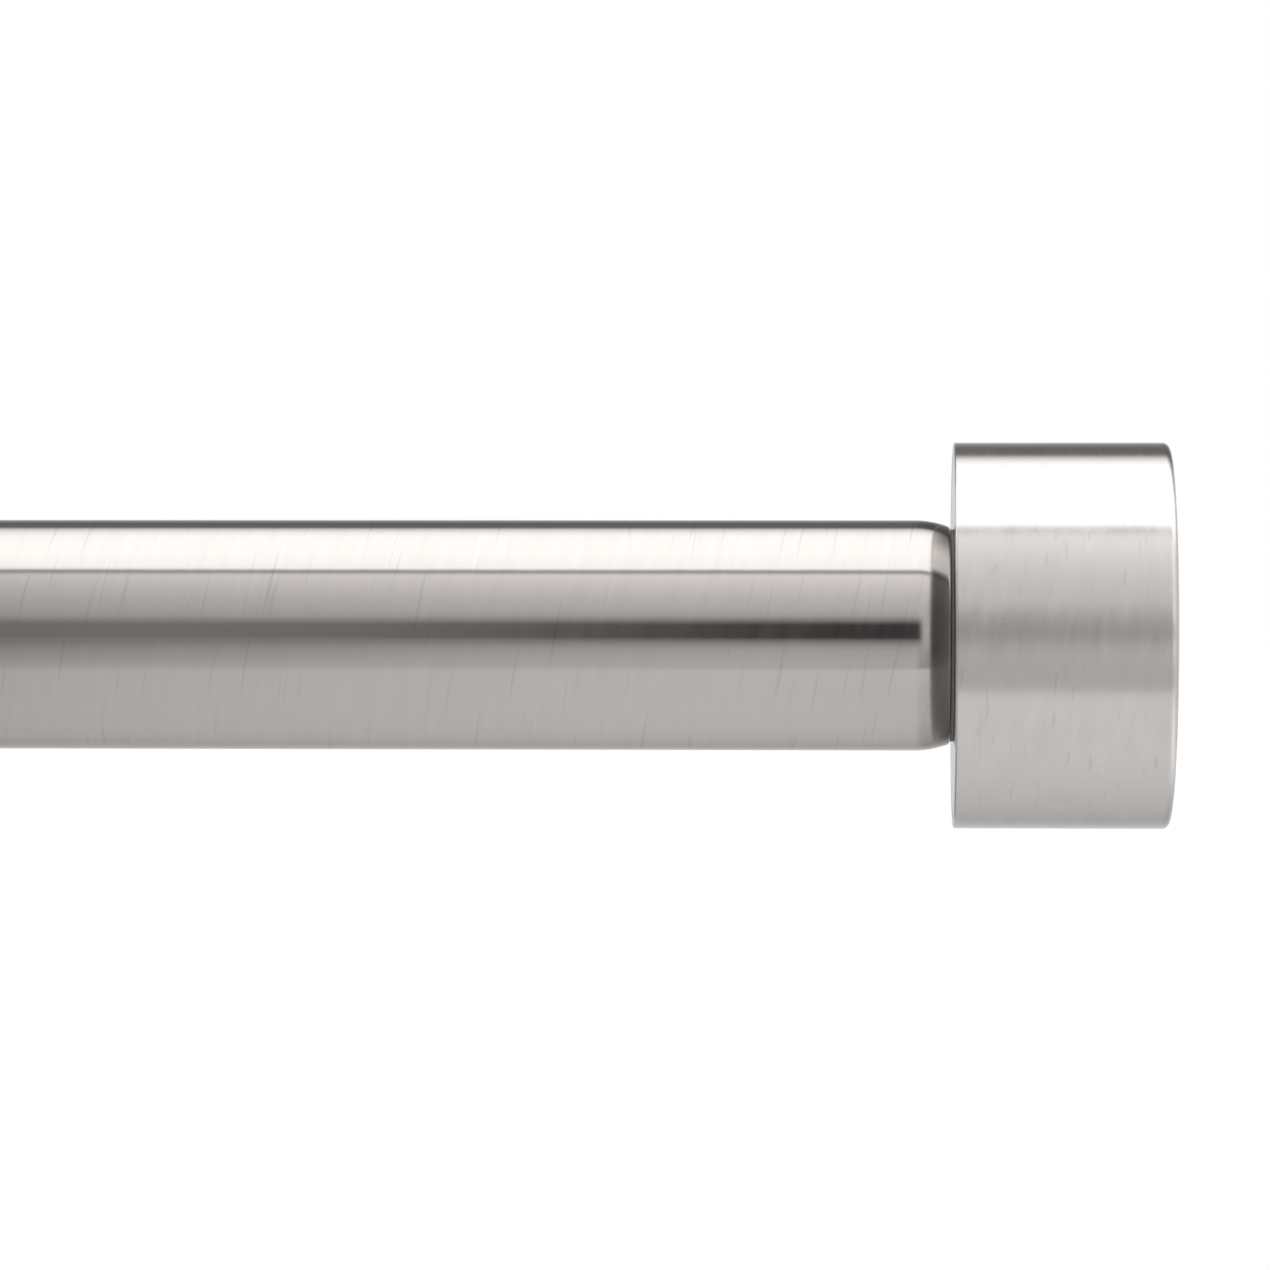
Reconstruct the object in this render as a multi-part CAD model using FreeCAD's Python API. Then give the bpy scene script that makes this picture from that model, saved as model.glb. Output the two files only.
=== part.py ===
import FreeCAD
import Part
import math
import os

# Extendable curtain rod, lying along X with its origin on the axis, half way between the two end faces.
# A thin steel tube slides in a wider one. Each tube's outer end is spun to a dome with a flat lip,
# and a round cap is drawn up against that lip by a threaded stud. All sizes are in millimetres.

# Lengths between the back faces of the two caps: pushed in, as drawn here, and pulled out
CLOSED_SPAN = 711.2
REST_SPAN = 820.0
OPEN_SPAN = 1219.2
# Bare inner tube between the left cap and the outer tube's mouth when the rod is pushed in
CLOSED_EXPOSURE = 12.0
# Free space left between the glide and the right insert when the rod is pushed in
END_ROOM = 10.0

# Tubes
OUTER_TUBE_RADIUS = 12.7
OUTER_TUBE_WALL = 0.6
INNER_TUBE_WALL = 0.6
# Space between the outer tube's bore and the inner tube, which the bush and the glide fill
TUBE_GAP = 1.0
DOME_RADIUS = 10.2
DOME_LENGTH = 3.9
LIP_CORNER_RADIUS = 0.5
LIP_BORE_RADIUS = 7.5
# Rolled ring that locks the glide on the inner tube
BEAD_DEPTH = 0.8
BEAD_WIDTH = 3.0
BEAD_FROM_END = 7.0

# Washer between a tube's lip and its cap
WASHER_THICKNESS = 0.3
WASHER_INSET = 1.0
STUD_HOLE_GAP = 0.3

# Caps
CAP_RADIUS = 21.25
CAP_LENGTH = 23.7
CAP_WALL = 1.0
CAP_EDGE_RADIUS = 0.8
CAP_INNER_EDGE_RADIUS = 0.4
CAP_RIM_BREAK = 0.15
PLATE_THICKNESS = 1.0
PLATE_EDGE_RADIUS = 0.6
PLATE_FLANGE = 6.0
BOSS_FLANGE_RADIUS = 8.0
BOSS_FLANGE_THICKNESS = 1.6
BOSS_RADIUS = 5.5
BOSS_LENGTH = 11.0
BOSS_CHAMFER = 0.6
BOSS_BLIND_END = 2.0

# Threaded stud and the nut that it turns in, with the thread drawn as a plain running fit
STUD_RADIUS = 3.0
STUD_CHAMFER = 0.7
STUD_PAST_NUT = 1.5
SOCKET_ACROSS_FLATS = 3.0
SOCKET_DEPTH = 3.5
THREAD_CLEARANCE = 0.05
NUT_ACROSS_FLATS = 10.0
NUT_HEIGHT = 5.0
NUT_CHAMFER_RADIUS = 5.1
# Slope of the turned corners, in degrees off the nut's faces
NUT_CHAMFER_ANGLE = 30.0
NUT_BORE_CHAMFER = 0.4

# Moulded insert that holds the nut in a tube's end
INSERT_LENGTH = 17.0
INSERT_NOSE_GAP = 0.1
INSERT_FLOOR = 5.4
NUT_POCKET_GAP = 0.05
HUB_SKIN = 1.0
FIN_HEIGHT = 1.2
FIN_WIDTH = 1.2
FIN_COUNT = 3
INSERT_SKIN = 1.0
INSERT_RIB_COUNT = 6
INSERT_RIB_WIDTH = 1.0
INSERT_POCKET_DEPTH = 9.0

# Bush in the outer tube's mouth
BUSH_LENGTH = 22.0
BUSH_FLANGE = 1.0
BUSH_EDGE_RADIUS = 0.5
BUSH_CLEARANCE = 0.08
BUSH_LEAD_IN = 0.4

# Glide on the inner tube's hidden end: a spigot in the tube, and a skirt of spring fingers in the outer tube
SPIGOT_LENGTH = 14.0
SPIGOT_CLEARANCE = 0.06
SPIGOT_CHAMFER = 0.8
SPIGOT_WALL = 2.2
BEAD_GROOVE_GAP = 0.2
GLIDE_END_GAP = 0.1
COLLAR_LENGTH = 3.0
FINGER_LENGTH = 13.0
FINGER_THICKNESS = 1.3
FINGER_CROWN = 0.35
FINGER_COUNT = 6
FINGER_SLOT = 1.6
GLIDE_CLEARANCE = 0.05

X_AXIS = FreeCAD.Vector(1, 0, 0)
Z_AXIS = FreeCAD.Vector(0, 0, 1)
ORIGIN = FreeCAD.Vector(0, 0, 0)
# Cutting tools run this far past the faces that they open
OVERCUT = 1.0

# Stations along X that several pieces share
RIGHT_LIP = REST_SPAN / 2 - WASHER_THICKNESS
LEFT_LIP = -RIGHT_LIP
REST_EXPOSURE = CLOSED_EXPOSURE + REST_SPAN - CLOSED_SPAN
MOUTH = -REST_SPAN / 2 + REST_EXPOSURE + BUSH_FLANGE
OUTER_TUBE_LENGTH = RIGHT_LIP - MOUTH
OUTER_BORE_RADIUS = OUTER_TUBE_RADIUS - OUTER_TUBE_WALL
INNER_TUBE_RADIUS = OUTER_BORE_RADIUS - TUBE_GAP
INNER_BORE_RADIUS = INNER_TUBE_RADIUS - INNER_TUBE_WALL
GLIDE_HEAD_LENGTH = GLIDE_END_GAP + COLLAR_LENGTH + FINGER_LENGTH
INNER_TUBE_LENGTH = (
    CLOSED_SPAN
    - 2 * WASHER_THICKNESS
    - OUTER_TUBE_WALL
    - INSERT_LENGTH
    - END_ROOM
    - GLIDE_HEAD_LENGTH
)
INNER_TUBE_END = LEFT_LIP + INNER_TUBE_LENGTH
CAP_BORE_RADIUS = CAP_RADIUS - CAP_WALL
STUD_HOLE_RADIUS = STUD_RADIUS + STUD_HOLE_GAP
THREAD_BORE_RADIUS = STUD_RADIUS + THREAD_CLEARANCE
BEAD_CENTRE_RADIUS = INNER_BORE_RADIUS - BEAD_DEPTH


class Outline:
    """Half a turned section, in points of (station along X, radius), that is turned about X."""

    def __init__(self, station, radius):
        self.first = self.point(station, radius)
        self.here = self.first
        self.edges = []

    @staticmethod
    def point(station, radius):
        return FreeCAD.Vector(station, radius, 0)

    def to(self, station, radius):
        """Adds a straight edge to a point."""
        there = self.point(station, radius)
        self.edges.append(Part.LineSegment(self.here, there).toShape())
        self.here = there
        return self

    def arc(self, through, end):
        """Adds an arc through one point to another."""
        there = self.point(*end)
        self.edges.append(Part.Arc(self.here, self.point(*through), there).toShape())
        self.here = there
        return self

    def round(self, centre, radius, start_angle, end_angle):
        """Adds an arc about a centre, between two angles in degrees from X towards the radius."""
        middle, end = (
            (
                centre[0] + radius * math.cos(math.radians(angle)),
                centre[1] + radius * math.sin(math.radians(angle)),
            )
            for angle in ((start_angle + end_angle) / 2, end_angle)
        )
        return self.arc(middle, end)

    def turned(self):
        """Closes the section and turns it into a solid."""
        self.to(self.first.x, self.first.y)
        return Part.Face(Part.Wire(self.edges)).revolve(ORIGIN, X_AXIS, 360)


def hexagonal_bar(across_flats, start, end):
    """A six-sided bar along X between two stations."""
    corner = across_flats / math.sqrt(3)
    corners = [
        FreeCAD.Vector(start, corner * math.cos(math.radians(60 * i)), corner * math.sin(math.radians(60 * i)))
        for i in range(7)
    ]
    return Part.Face(Part.makePolygon(corners)).extrude(X_AXIS * (end - start))


def ring(outer_radius, inner_radius, start, end):
    """A plain ring along X between two stations."""
    outside = Part.makeCylinder(outer_radius, end - start, X_AXIS * start, X_AXIS)
    inside = Part.makeCylinder(inner_radius, end - start, X_AXIS * start, X_AXIS)
    return outside.cut(inside)


def blades(count, width, radius, start, end):
    """Thin radial walls around the axis, between two stations, from the axis to a radius."""
    one = Part.makeBox(end - start, radius, width, FreeCAD.Vector(start, 0, -width / 2))
    return [one.rotated(ORIGIN, X_AXIS, 360 * i / count) for i in range(count)]


def lip_corner(tube_radius):
    """The centre radius of the small corner between a tube's dome and its flat lip."""
    along = DOME_LENGTH - LIP_CORNER_RADIUS
    reach = DOME_RADIUS - LIP_CORNER_RADIUS
    return tube_radius - DOME_RADIUS + math.sqrt(reach**2 - along**2)


def lip_inside(tube_radius, wall):
    """The radius at which the dome's inner face meets the lip's inner face."""
    along = DOME_LENGTH - wall
    reach = DOME_RADIUS - wall
    return tube_radius - DOME_RADIUS + math.sqrt(reach**2 - along**2)


def tube(radius, wall, length, bead_station=None):
    """A tube whose lip's outer face is at station 0, and which runs back along -X from there."""
    corner_radius = lip_corner(radius)
    dome_centre = (-DOME_LENGTH, radius - DOME_RADIUS)
    bore = radius - wall
    turn = math.degrees(math.asin((DOME_LENGTH - LIP_CORNER_RADIUS) / (DOME_RADIUS - LIP_CORNER_RADIUS)))
    inner_turn = math.degrees(math.asin((DOME_LENGTH - wall) / (DOME_RADIUS - wall)))
    outline = Outline(0, LIP_BORE_RADIUS).to(0, corner_radius)
    outline.round((-LIP_CORNER_RADIUS, corner_radius), LIP_CORNER_RADIUS, 0, 90 - turn)
    outline.round(dome_centre, DOME_RADIUS, 90 - turn, 90)
    if bead_station is None:
        outline.to(-length, radius).to(-length, bore)
    else:
        half = BEAD_WIDTH / 2
        inner_half = half + wall / 2
        outline.to(bead_station + half, radius)
        outline.arc((bead_station, radius - BEAD_DEPTH), (bead_station - half, radius))
        outline.to(-length, radius).to(-length, bore).to(bead_station - inner_half, bore)
        outline.arc((bead_station, bore - BEAD_DEPTH), (bead_station + inner_half, bore))
    outline.to(-DOME_LENGTH, bore)
    outline.round(dome_centre, DOME_RADIUS - wall, 90, 90 - inner_turn)
    outline.to(-wall, LIP_BORE_RADIUS)
    return outline.turned()


def washer(tube_radius):
    """The flat washer that lies on a tube's lip, at station 0."""
    return ring(tube_radius - WASHER_INSET, STUD_HOLE_RADIUS, 0, WASHER_THICKNESS)


def end_insert(tube_radius, wall):
    """The finned insert behind a tube's lip, with a six-sided pocket for the nut."""
    bore = tube_radius - wall
    root = bore - FIN_HEIGHT
    front = -wall
    back = front - INSERT_LENGTH
    fin_pitch = (INSERT_LENGTH - DOME_LENGTH + wall - FIN_WIDTH) / (FIN_COUNT - 1)
    outline = Outline(front, STUD_HOLE_RADIUS).to(front, lip_inside(tube_radius, wall) - INSERT_NOSE_GAP)
    for i in range(FIN_COUNT):
        fin_front = -DOME_LENGTH - i * fin_pitch
        if i:
            outline.to(fin_front, root)
        outline.to(fin_front, bore).to(fin_front - FIN_WIDTH, bore)
        if i < FIN_COUNT - 1:
            outline.to(fin_front - FIN_WIDTH, root)
    outline.to(back, STUD_HOLE_RADIUS)
    body = outline.turned()
    hub_radius = NUT_ACROSS_FLATS / math.sqrt(3) + NUT_POCKET_GAP + HUB_SKIN
    moat = ring(root - INSERT_SKIN, hub_radius, back - OVERCUT, back + INSERT_POCKET_DEPTH)
    ribs = blades(INSERT_RIB_COUNT, INSERT_RIB_WIDTH, bore, back - 2 * OVERCUT, back + INSERT_POCKET_DEPTH + OVERCUT)
    moat = moat.cut(ribs)
    pocket = hexagonal_bar(NUT_ACROSS_FLATS + 2 * NUT_POCKET_GAP, back - OVERCUT, front - INSERT_FLOOR)
    return body.cut(moat).cut(pocket)


def nut(wall):
    """The six-sided nut on the floor of an insert's pocket, with its corners turned off."""
    front = -wall - INSERT_FLOOR
    back = front - NUT_HEIGHT
    corner = NUT_ACROSS_FLATS / math.sqrt(3)
    slope = (corner - NUT_CHAMFER_RADIUS) * math.tan(math.radians(NUT_CHAMFER_ANGLE))
    blank = Outline(front, THREAD_BORE_RADIUS + NUT_BORE_CHAMFER).to(front, NUT_CHAMFER_RADIUS)
    blank.to(front - slope, corner).to(back + slope, corner).to(back, NUT_CHAMFER_RADIUS)
    blank.to(back, THREAD_BORE_RADIUS + NUT_BORE_CHAMFER).to(back + NUT_BORE_CHAMFER, THREAD_BORE_RADIUS)
    blank.to(front - NUT_BORE_CHAMFER, THREAD_BORE_RADIUS)
    return blank.turned().common(hexagonal_bar(NUT_ACROSS_FLATS, back, front))


def stud(wall):
    """The stud from the bottom of the cap's boss to just past the nut, with a socket in its far end."""
    outer_end = WASHER_THICKNESS + PLATE_THICKNESS + BOSS_LENGTH - BOSS_BLIND_END
    inner_end = -wall - INSERT_FLOOR - NUT_HEIGHT - STUD_PAST_NUT
    outline = Outline(outer_end, 0).to(outer_end, STUD_RADIUS - STUD_CHAMFER)
    outline.to(outer_end - STUD_CHAMFER, STUD_RADIUS).to(inner_end + STUD_CHAMFER, STUD_RADIUS)
    outline.to(inner_end, STUD_RADIUS - STUD_CHAMFER).to(inner_end, 0)
    socket = hexagonal_bar(SOCKET_ACROSS_FLATS, inner_end - OVERCUT, inner_end + SOCKET_DEPTH)
    return outline.turned().cut(socket)


def cap_shell():
    """The cap's drawn cup: a straight side and a flat end with a rounded edge, open towards the rod."""
    back = WASHER_THICKNESS
    end = back + CAP_LENGTH
    inside = end - CAP_WALL
    outline = Outline(back, CAP_BORE_RADIUS).to(back, CAP_RADIUS - CAP_RIM_BREAK)
    outline.to(back + CAP_RIM_BREAK, CAP_RADIUS).to(end - CAP_EDGE_RADIUS, CAP_RADIUS)
    outline.round((end - CAP_EDGE_RADIUS, CAP_RADIUS - CAP_EDGE_RADIUS), CAP_EDGE_RADIUS, 90, 0)
    outline.to(end, 0).to(inside, 0).to(inside, CAP_BORE_RADIUS - CAP_INNER_EDGE_RADIUS)
    corner = (inside - CAP_INNER_EDGE_RADIUS, CAP_BORE_RADIUS - CAP_INNER_EDGE_RADIUS)
    outline.round(corner, CAP_INNER_EDGE_RADIUS, 0, 90)
    return outline.turned()


def cap_back_plate():
    """The flanged plate that closes the cup, flush with its rim, with a hole for the stud."""
    back = WASHER_THICKNESS
    front = back + PLATE_THICKNESS
    radius = CAP_BORE_RADIUS
    inner_radius = radius - PLATE_THICKNESS
    outline = Outline(back, STUD_HOLE_RADIUS).to(back, radius - PLATE_EDGE_RADIUS)
    outline.round((back + PLATE_EDGE_RADIUS, radius - PLATE_EDGE_RADIUS), PLATE_EDGE_RADIUS, 180, 90)
    outline.to(back + PLATE_FLANGE, radius).to(back + PLATE_FLANGE, inner_radius)
    outline.to(front, inner_radius).to(front, STUD_HOLE_RADIUS)
    return outline.turned()


def cap_boss():
    """The flanged boss on the inner face of the back plate, bored blind for the stud."""
    back = WASHER_THICKNESS + PLATE_THICKNESS
    end = back + BOSS_LENGTH
    bottom = end - BOSS_BLIND_END
    outline = Outline(back, THREAD_BORE_RADIUS).to(back, BOSS_FLANGE_RADIUS)
    outline.to(back + BOSS_FLANGE_THICKNESS, BOSS_FLANGE_RADIUS).to(back + BOSS_FLANGE_THICKNESS, BOSS_RADIUS)
    outline.to(end - BOSS_CHAMFER, BOSS_RADIUS).to(end, BOSS_RADIUS - BOSS_CHAMFER).to(end, 0)
    outline.to(bottom, 0).to(bottom, THREAD_BORE_RADIUS)
    return outline.turned()


def mouth_bush():
    """The bush pressed in the outer tube's mouth, with its flange over the tube's cut edge."""
    bore = INNER_TUBE_RADIUS + BUSH_CLEARANCE
    outer_face = MOUTH - BUSH_FLANGE
    inner_face = MOUTH + BUSH_LENGTH
    outline = Outline(outer_face, bore + BUSH_LEAD_IN).to(outer_face, OUTER_TUBE_RADIUS - BUSH_EDGE_RADIUS)
    corner = (outer_face + BUSH_EDGE_RADIUS, OUTER_TUBE_RADIUS - BUSH_EDGE_RADIUS)
    outline.round(corner, BUSH_EDGE_RADIUS, 180, 90)
    outline.to(MOUTH, OUTER_TUBE_RADIUS).to(MOUTH, OUTER_BORE_RADIUS)
    outline.to(inner_face, OUTER_BORE_RADIUS).to(inner_face, bore + BUSH_LEAD_IN)
    outline.to(inner_face - BUSH_LEAD_IN, bore).to(outer_face + BUSH_LEAD_IN, bore)
    return outline.turned()


def glide():
    """The glide: its spigot turns in the inner tube's end, and its fingers run in the outer tube."""
    spigot_radius = INNER_BORE_RADIUS - SPIGOT_CLEARANCE
    tip = INNER_TUBE_END - SPIGOT_LENGTH
    bead = INNER_TUBE_END - BEAD_FROM_END
    groove_half = BEAD_WIDTH / 2 + INNER_TUBE_WALL / 2 + BEAD_GROOVE_GAP
    groove_radius = BEAD_CENTRE_RADIUS - BEAD_GROOVE_GAP
    collar = INNER_TUBE_END + GLIDE_END_GAP
    root = collar + COLLAR_LENGTH
    end = root + FINGER_LENGTH
    crown_radius = OUTER_BORE_RADIUS - GLIDE_CLEARANCE
    edge_radius = crown_radius - FINGER_CROWN
    core_radius = spigot_radius - SPIGOT_WALL
    outline = Outline(tip, core_radius).to(tip, spigot_radius - SPIGOT_CHAMFER)
    outline.to(tip + SPIGOT_CHAMFER, spigot_radius).to(bead - groove_half, spigot_radius)
    outline.to(bead - groove_half, groove_radius).to(bead + groove_half, groove_radius)
    outline.to(bead + groove_half, spigot_radius).to(collar, spigot_radius)
    outline.to(collar, edge_radius)
    outline.arc(((collar + end) / 2, crown_radius), (end, edge_radius))
    outline.to(end, edge_radius - FINGER_THICKNESS).to(root, edge_radius - FINGER_THICKNESS)
    outline.to(root, core_radius)
    body = outline.turned()
    slots = blades(FINGER_COUNT, FINGER_SLOT, OUTER_BORE_RADIUS + OVERCUT, root, end + OVERCUT)
    return body.cut(slots)


def at_right(shape):
    """Puts a piece drawn about its tube's lip on the rod's right end."""
    return shape.translated(X_AXIS * RIGHT_LIP)


def at_left(shape):
    """Turns a piece drawn about its tube's lip half round, and puts it on the rod's left end."""
    return shape.rotated(ORIGIN, Z_AXIS, 180).translated(X_AXIS * LEFT_LIP)


def end_pieces(side, place, tube_radius, wall):
    """Every piece fastened to one end of the rod, under its node's name."""
    return {
        f"{side}_end_insert": place(end_insert(tube_radius, wall)),
        f"{side}_end_nut": place(nut(wall)),
        f"{side}_washer": place(washer(tube_radius)),
        f"{side}_cap_shell": place(cap_shell()),
        f"{side}_cap_back_plate": place(cap_back_plate()),
        f"{side}_cap_boss": place(cap_boss()),
        f"{side}_cap_stud": place(stud(wall)),
    }


def all_pieces():
    """Every solid of the rod, under its node's name."""
    bead = BEAD_FROM_END - INNER_TUBE_LENGTH
    pieces = {
        "outer_tube": at_right(tube(OUTER_TUBE_RADIUS, OUTER_TUBE_WALL, OUTER_TUBE_LENGTH)),
        "inner_tube": at_left(tube(INNER_TUBE_RADIUS, INNER_TUBE_WALL, INNER_TUBE_LENGTH, bead)),
        "mouth_bush": mouth_bush(),
        "glide": glide(),
    }
    pieces.update(end_pieces("right", at_right, OUTER_TUBE_RADIUS, OUTER_TUBE_WALL))
    pieces.update(end_pieces("left", at_left, INNER_TUBE_RADIUS, INNER_TUBE_WALL))
    return pieces


def main():
    """Writes one STEP file for each node and prints the sizes that follow from the driving ones."""
    os.makedirs("parts", exist_ok=True)
    for name, shape in all_pieces().items():
        solids = shape.Solids
        good = len(solids) == 1 and shape.isValid() and shape.Volume > 0
        print(f"{name}: {len(solids)} solid, {shape.Volume:.1f} mm3{'' if good else ' NOT GOOD'}")
        solids[0].exportStep(f"parts/{name}.step")
    print(f"outer tube {OUTER_TUBE_LENGTH:.2f} long, mouth at {MOUTH:.2f}, inner tube {INNER_TUBE_LENGTH:.2f}")
    print(f"slide from {CLOSED_SPAN - REST_SPAN:.2f} to {OPEN_SPAN - REST_SPAN:.2f}")


main()
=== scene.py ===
"""The looks of an extendable curtain rod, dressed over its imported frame.

Two steel tubes with a brushed nickel plate slide in one another, and a flat-ended round cap is screwed
to each outer end. Sizes are in millimetres until they become a mesh, which is in metres in the frame's axes.
"""

import logging
import math
from dataclasses import dataclass, field
from enum import Enum

import bpy
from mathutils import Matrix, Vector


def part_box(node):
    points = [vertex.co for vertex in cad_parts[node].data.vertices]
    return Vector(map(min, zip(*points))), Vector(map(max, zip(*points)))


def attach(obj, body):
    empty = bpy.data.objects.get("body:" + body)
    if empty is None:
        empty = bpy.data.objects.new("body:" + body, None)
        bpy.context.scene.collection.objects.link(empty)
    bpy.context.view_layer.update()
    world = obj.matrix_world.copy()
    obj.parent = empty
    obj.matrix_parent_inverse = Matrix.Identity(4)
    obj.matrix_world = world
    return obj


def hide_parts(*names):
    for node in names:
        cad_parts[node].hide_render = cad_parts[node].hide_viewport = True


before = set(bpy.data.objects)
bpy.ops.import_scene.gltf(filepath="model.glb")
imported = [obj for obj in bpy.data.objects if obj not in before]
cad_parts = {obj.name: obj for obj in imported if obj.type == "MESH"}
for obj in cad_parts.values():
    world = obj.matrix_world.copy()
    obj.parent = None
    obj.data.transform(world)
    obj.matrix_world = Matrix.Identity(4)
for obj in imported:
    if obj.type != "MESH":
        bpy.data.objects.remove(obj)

MM = 0.001
FULL_TURN = 2 * math.pi
UV_LAYER = "UVMap"
MATH = "ShaderNodeMath"
# Noise seldom leaves this range, so a Map Range node stretches it, by the numbers of its sockets.
NOISE_REACH = {1: 0.3, 2: 0.7}
LOG = logging.getLogger("curtain_rod")

Socket = bpy.types.NodeSocket
Pair = tuple[float, float]


def linear(colour: str) -> tuple[float, float, float, float]:
    """Turns an sRGB hex colour to linear light.

    Args:
        colour: Six hex digits, such as "c0bcb8".

    Returns:
        Red, green, blue and an alpha of 1.
    """
    shares = [int(colour[i : i + 2], 16) / 255 for i in (0, 2, 4)]
    red, green, blue = (s / 12.92 if s <= 0.04045 else ((s + 0.055) / 1.055) ** 2.4 for s in shares)
    return red, green, blue, 1.0


def add_node(
    tree: bpy.types.NodeTree,
    kind: str,
    inputs: dict[str | int, object] | None = None,
    **settings: object,
) -> bpy.types.Node:
    """Adds a node to a tree with its settings and its links.

    Args:
        tree: The material's, world's or modifier's tree.
        kind: The node's type.
        inputs: What each socket gets, by its name or number: another node's output, or a value.
        settings: The node's own properties.

    Returns:
        The new node.
    """
    node = tree.nodes.new(kind)
    for name, value in settings.items():
        setattr(node, name, value)
    for key, value in (inputs or {}).items():
        if isinstance(key, str):
            socket = next(s for s in node.inputs if s.name == key and not s.is_unavailable)
        else:
            socket = node.inputs[key]
        if isinstance(value, Socket):
            tree.links.new(value, socket)
        else:
            socket.default_value = value
    return node


class End(Enum):
    """An end of the rod, with the way that its pieces point along X."""

    RIGHT = 1
    LEFT = -1

    @property
    def side(self) -> str:
        """The word that the end's nodes begin with."""
        return self.name.lower()


@dataclass(frozen=True)
class Datum:
    """The plane that a piece is measured from, and the way its stations count along X."""

    origin: float
    end: End

    def along(self, station: float) -> float:
        """The place on X, in metres, of a station in millimetres."""
        return self.origin + self.end.value * station * MM


@dataclass
class Profile:
    """Half a turned section, as points of (station, radius) in millimetres.

    It is drawn so that the outside of the piece runs towards higher stations, which makes its faces point
    outwards once it is turned. Straight runs get a point just inside each of their ends, so that the shading
    of a rounded corner stays in the corner.
    """

    points: list[Pair] = field(default_factory=list)
    threaded: list[float] = field(default_factory=list)
    six_sided: list[float] = field(default_factory=list)
    support: float = 0.05
    shortest_run: float = 0.2
    same_point: float = 0.005

    def add(self, station: float, radius: float, thread: float = 0.0, hexagon: float = 0.0) -> "Profile":
        """Adds one point.

        Args:
            station: Its place along the axis.
            radius: Its distance from the axis, or from the axis to a flat where it is six-sided.
            thread: How far the thread is cut there, from 0 to 1.
            hexagon: 1 where the section is six-sided, and 0 where it is round.

        Returns:
            The profile, for the next step.
        """
        self.points.append((station, radius))
        self.threaded.append(thread)
        self.six_sided.append(hexagon)
        return self

    def to(self, station: float, radius: float) -> "Profile":
        """Draws a straight run.

        Args:
            station: The far end's place along the axis.
            radius: The far end's radius.

        Returns:
            The profile, for the next step.
        """
        here = self.points[-1]
        length = math.dist(here, (station, radius))
        if length > self.shortest_run:
            for share in (self.support / length, 1 - self.support / length):
                self.add(here[0] + (station - here[0]) * share, here[1] + (radius - here[1]) * share)
        return self.add(station, radius)

    def round(self, centre: Pair, radius: float, start: float, end: float, steps: int = 8) -> "Profile":
        """Draws an arc.

        Args:
            centre: The arc's centre, as station and radius.
            radius: The arc's own radius.
            start: The angle it starts at, in degrees from the axis towards the outside.
            end: The angle it ends at.
            steps: How many straight pieces it is drawn with.

        Returns:
            The profile, for the next step.
        """
        for i in range(steps + 1):
            angle = math.radians(start + (end - start) * i / steps)
            point = (centre[0] + radius * math.cos(angle), centre[1] + radius * math.sin(angle))
            if not self.points or math.dist(point, self.points[-1]) > self.same_point:
                self.add(*point)
        return self

    def groove(self, middle: float, half: float, depth: float, steps: int = 12) -> "Profile":
        """Draws a shallow arc sunk in a run of one radius, and centred on a station.

        Args:
            middle: The station of its deepest point.
            half: Half its width, with the sign of the way that the run is going.
            depth: How far it sinks.
            steps: How many straight pieces it is drawn with.

        Returns:
            The profile, for the next step.
        """
        surface = self.points[-1][1]
        self.to(middle - half, surface)
        sweep = (half**2 + depth**2) / (2 * depth)
        opening = math.asin(half / sweep)
        for i in range(1, steps + 1):
            angle = opening * (2 * i / steps - 1)
            self.add(middle + sweep * math.sin(angle), surface - depth + sweep * (1 - math.cos(angle)))
        return self

    def closed(self) -> "Profile":
        """Draws a straight run back to the first point."""
        return self.to(*self.points[0])

    def mesh(self, name: str, datum: Datum) -> bpy.types.Mesh:
        """Makes the wire that the lathe tree turns.

        Args:
            name: The wire's name.
            datum: Where the profile is measured from.

        Returns:
            A mesh of edges in the plane of X and Y, with each point's values on it.
        """
        travel = [0.0]
        for before, after in zip(self.points, self.points[1:]):
            travel.append(travel[-1] + math.dist(before, after))
        rows = list(zip(self.points, travel, self.threaded, self.six_sided))[:: datum.end.value]
        wire = bpy.data.meshes.new(name)
        places = [(datum.along(station), radius * MM, 0.0) for (station, radius), *_ in rows]
        wire.from_pydata(places, [(i, i + 1) for i in range(len(rows) - 1)], [])
        for column, label in enumerate(("travel", "thread", "hexagon"), 1):
            values = wire.attributes.new(label, "FLOAT", "POINT")
            values.data.foreach_set("value", [row[column] for row in rows])
        return wire


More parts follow.
